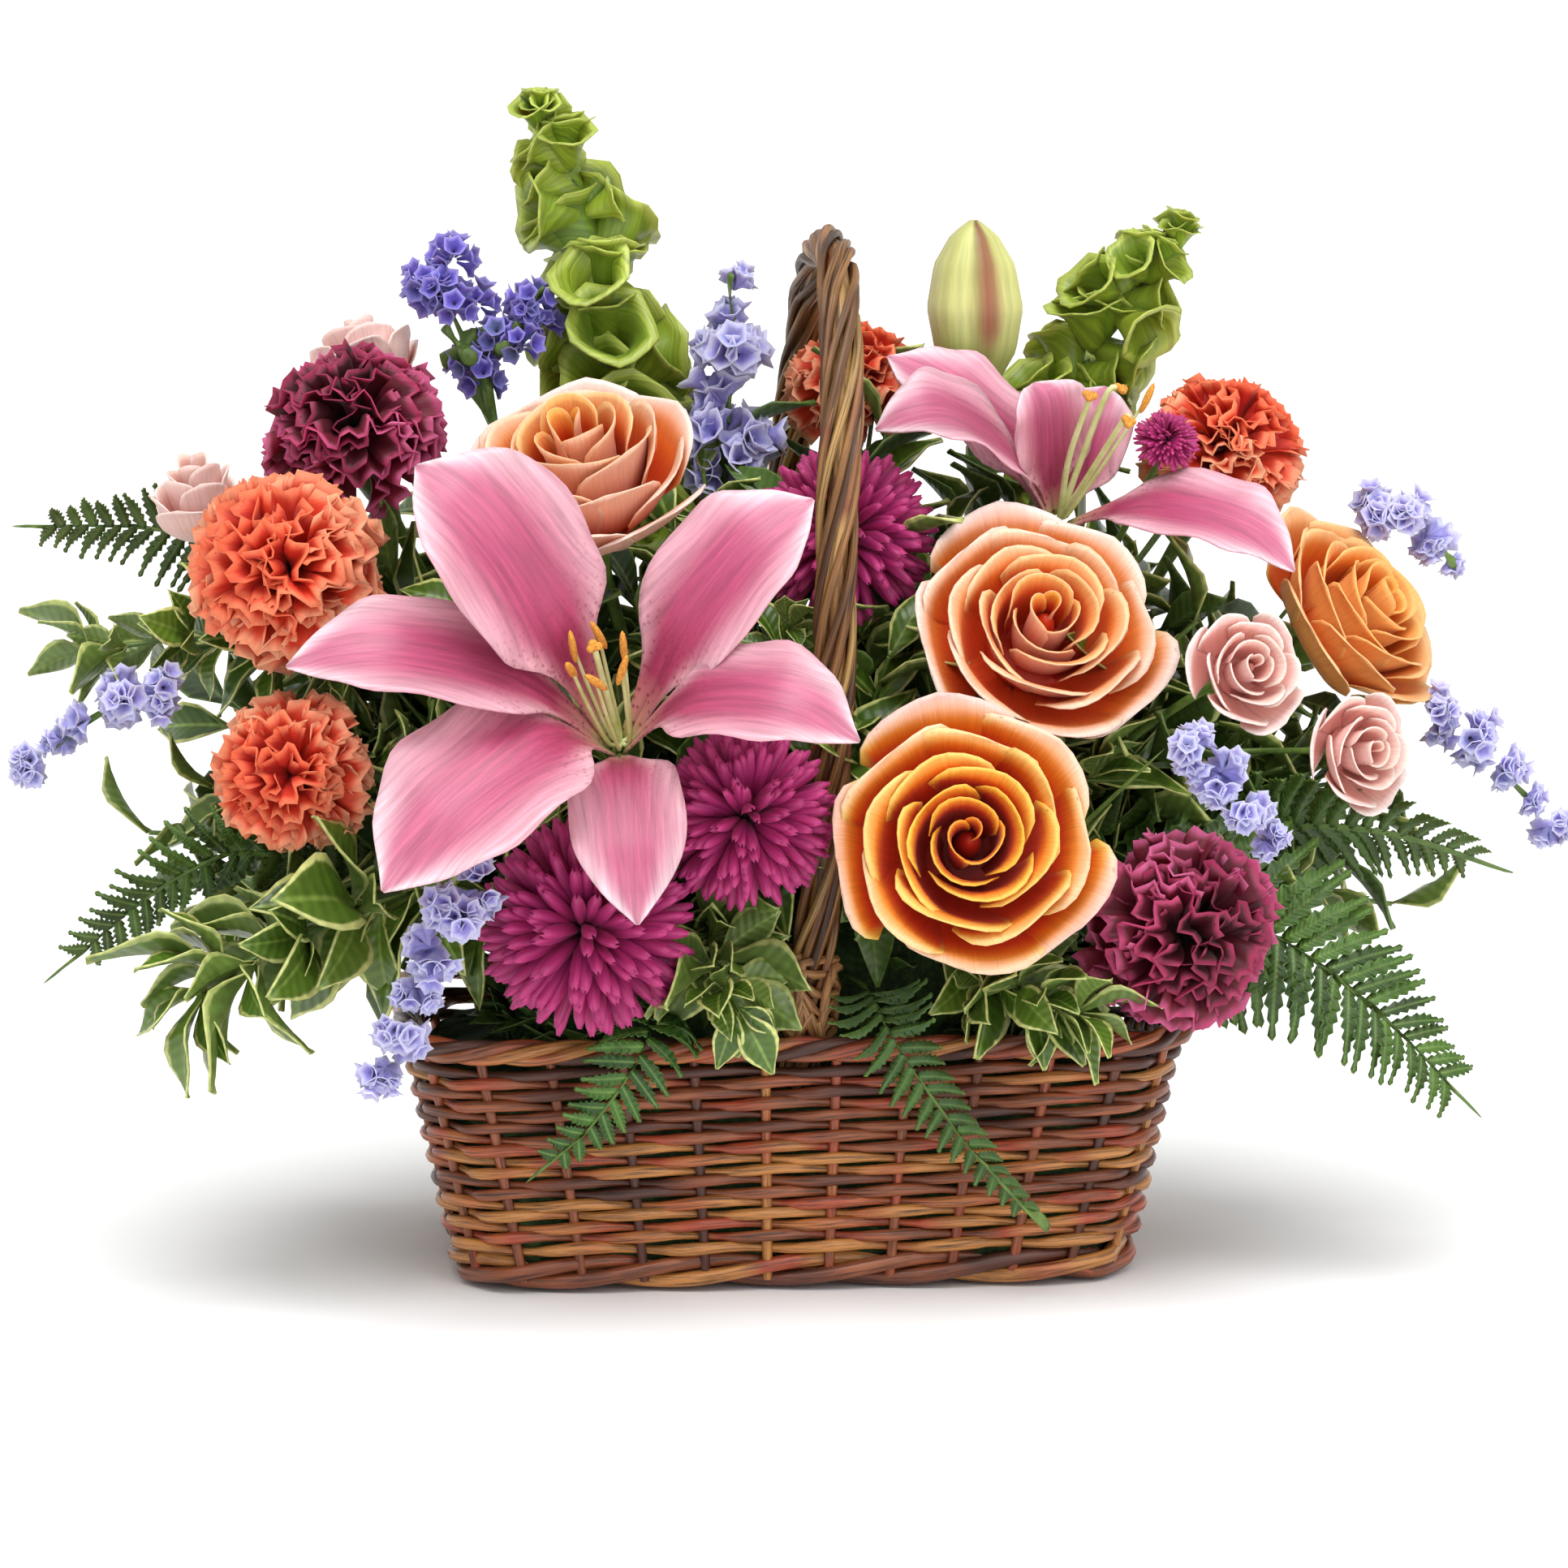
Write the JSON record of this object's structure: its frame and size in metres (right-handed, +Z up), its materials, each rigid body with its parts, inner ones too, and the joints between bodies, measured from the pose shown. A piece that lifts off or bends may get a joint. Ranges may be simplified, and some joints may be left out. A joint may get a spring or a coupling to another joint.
{
  "type": "flower basket arrangement",
  "caption": "Woven willow basket with a tall fixed handle, filled with roses, lilies, carnations, chrysanthemums, statice, bells of Ireland and mixed leaves in wet foam.",
  "frame": {"origin": "middle of the basket's flat underside, on the surface that it stands on", "axes": "+Z up, +X to the right along the basket's long side, -Y towards the front, where the large open flowers face"},
  "size_m": [0.5389, 0.3079, 0.3986],
  "materials": {
    "willow_weave": "peeled and stained split willow, satin",
    "willow_handle": "twisted willow rods, satin",
    "cane_binding": "wound cane, satin",
    "liner_plastic": "thin dark green moulded liner",
    "floral_foam": "soaked green foam, dull and porous",
    "flower_stem": "fresh green stem, satin",
    "rose_petal": "soft peach and orange petal, velvety",
    "spray_rose_petal": "pale pink petal, velvety",
    "lily_tepal": "smooth pink tepal, waxy",
    "lily_stamen": "golden anther with powdery pollen",
    "carnation_coral": "coral petal with a toothed edge, soft",
    "carnation_burgundy": "burgundy petal with a toothed edge, soft",
    "chrysanthemum_petal": "magenta spoon-shaped petal, satin",
    "statice_floret": "papery lavender floret, dry",
    "bell_calyx": "lime green papery cup, satin",
    "fern_leaf": "leathery dark green leaf, satin",
    "pittosporum_leaf": "glossy green leaf with a cream edge"
  },
  "bodies": {
    "root": {"basket": "willow_weave", "basket_rim": "willow_weave", "handle": "willow_handle", "handle_binding_front": "cane_binding", "handle_binding_back": "cane_binding", "liner": "liner_plastic", "floral_foam": "floral_foam", "rose_front": "rose_petal", "rose_right": "rose_petal", "rose_left": "rose_petal", "rose_far_right": "rose_petal", "rose_front_stem": "flower_stem", "rose_right_stem": "flower_stem", "rose_left_stem": "flower_stem", "rose_far_right_stem": "flower_stem", "spray_rose_left": "spray_rose_petal", "spray_rose_top": "spray_rose_petal", "spray_rose_right_high": "spray_rose_petal", "spray_rose_right_low": "spray_rose_petal", "spray_rose_stem_left": "flower_stem", "spray_rose_stem_right": "flower_stem", "lily_front": "lily_tepal", "lily_front_stamens": "lily_stamen", "lily_front_stem": "flower_stem", "lily_back": "lily_tepal", "lily_back_stamens": "lily_stamen", "lily_back_stem": "flower_stem", "carnation_coral_left_high": "carnation_coral", "carnation_coral_left_low": "carnation_coral", "carnation_coral_right": "carnation_coral", "carnation_coral_back": "carnation_coral", "carnation_burgundy_left": "carnation_burgundy", "carnation_burgundy_right": "carnation_burgundy", "mum_center": "chrysanthemum_petal", "mum_low": "chrysanthemum_petal", "mum_back": "chrysanthemum_petal", "mum_small": "chrysanthemum_petal", "statice_upper_left": "statice_floret", "statice_back": "statice_floret", "statice_left": "statice_floret", "statice_low_left": "statice_floret", "statice_right_high": "statice_floret", "statice_right": "statice_floret", "statice_right_mid": "statice_floret", "bells_of_ireland_left": "bell_calyx", "bells_of_ireland_right": "bell_calyx", "fern_right": "fern_leaf", "fern_right_high": "fern_leaf", "fern_front_right": "fern_leaf", "fern_front_left": "fern_leaf", "fern_left_high": "fern_leaf", "fern_left_low": "fern_leaf", "fern_back_left": "fern_leaf", "fern_back_right": "fern_leaf", "pittosporum_left": "pittosporum_leaf", "pittosporum_left_low": "pittosporum_leaf", "pittosporum_front_left": "pittosporum_leaf", "pittosporum_front_right": "pittosporum_leaf", "pittosporum_center": "pittosporum_leaf", "pittosporum_back": "pittosporum_leaf"}
  },
  "joints": []
}
